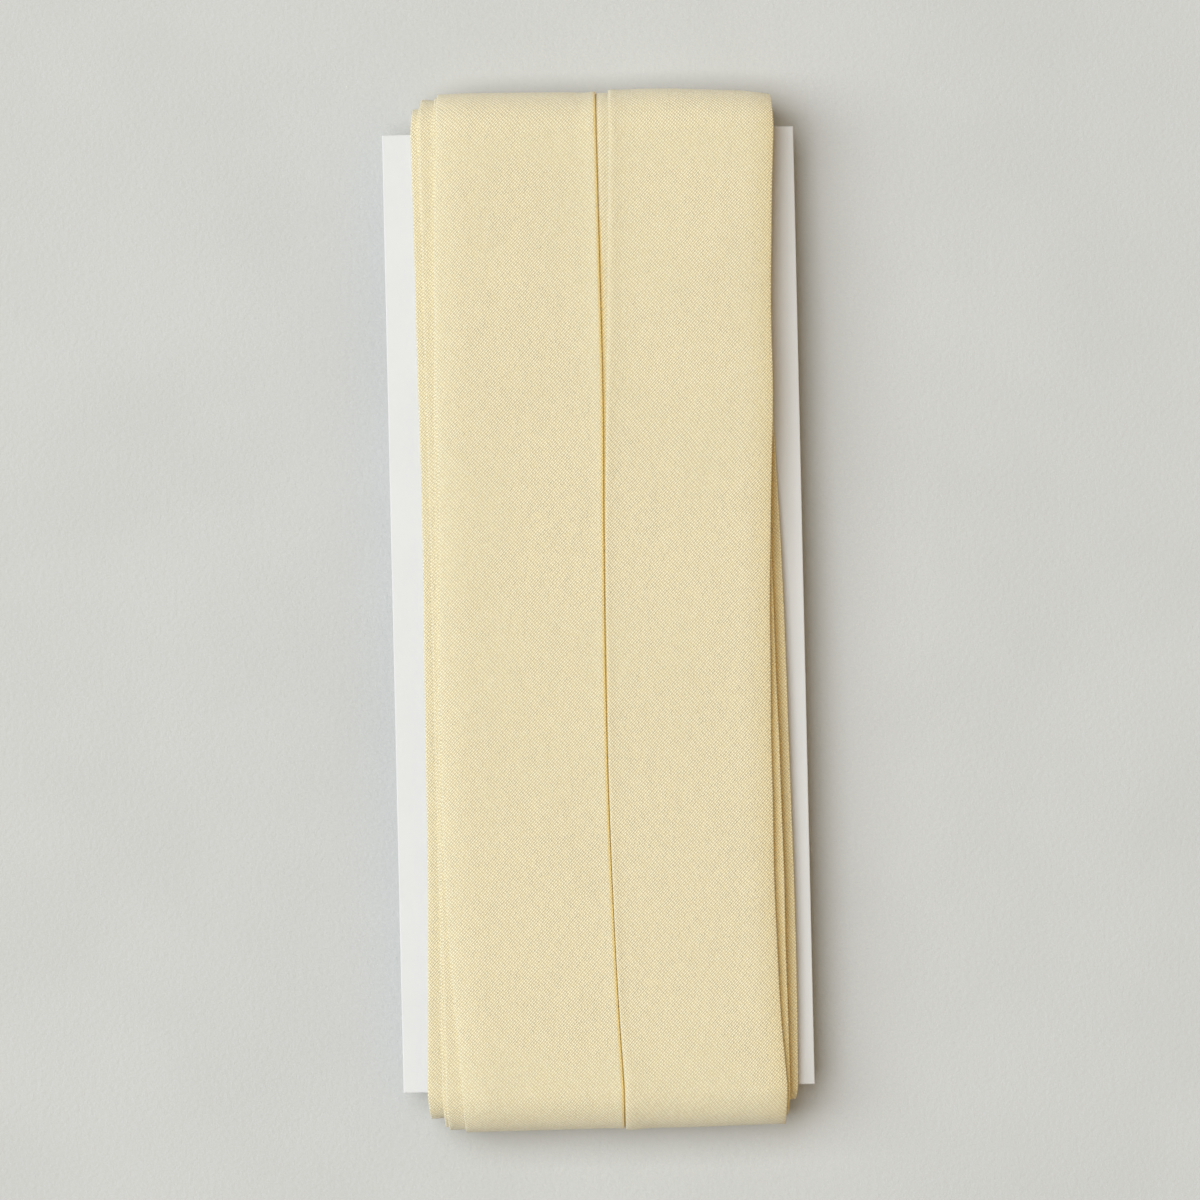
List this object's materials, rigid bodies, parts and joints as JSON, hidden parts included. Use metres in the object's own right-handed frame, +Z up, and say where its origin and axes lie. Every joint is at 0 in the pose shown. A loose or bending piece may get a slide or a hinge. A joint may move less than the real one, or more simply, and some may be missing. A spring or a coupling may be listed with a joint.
{
  "type": "roll of bias binding on a card",
  "caption": "Folded cotton bias tape wound flat in many turns round a card that shows on both long sides, with a slit along its middle.",
  "frame": {"origin": "under the middle of the card, on the surface that the winding lies on", "axes": "+X across the card to the right, +Y along the card to its top end, +Z up from the surface"},
  "size_m": [0.0498, 0.1252, 0.0098],
  "materials": {
    "binding": "pale yellow cotton poplin, matt, with a faint sheen",
    "card": "white, smooth, matt"
  },
  "bodies": {
    "root": {"binding": "binding", "card": "card"}
  },
  "joints": []
}
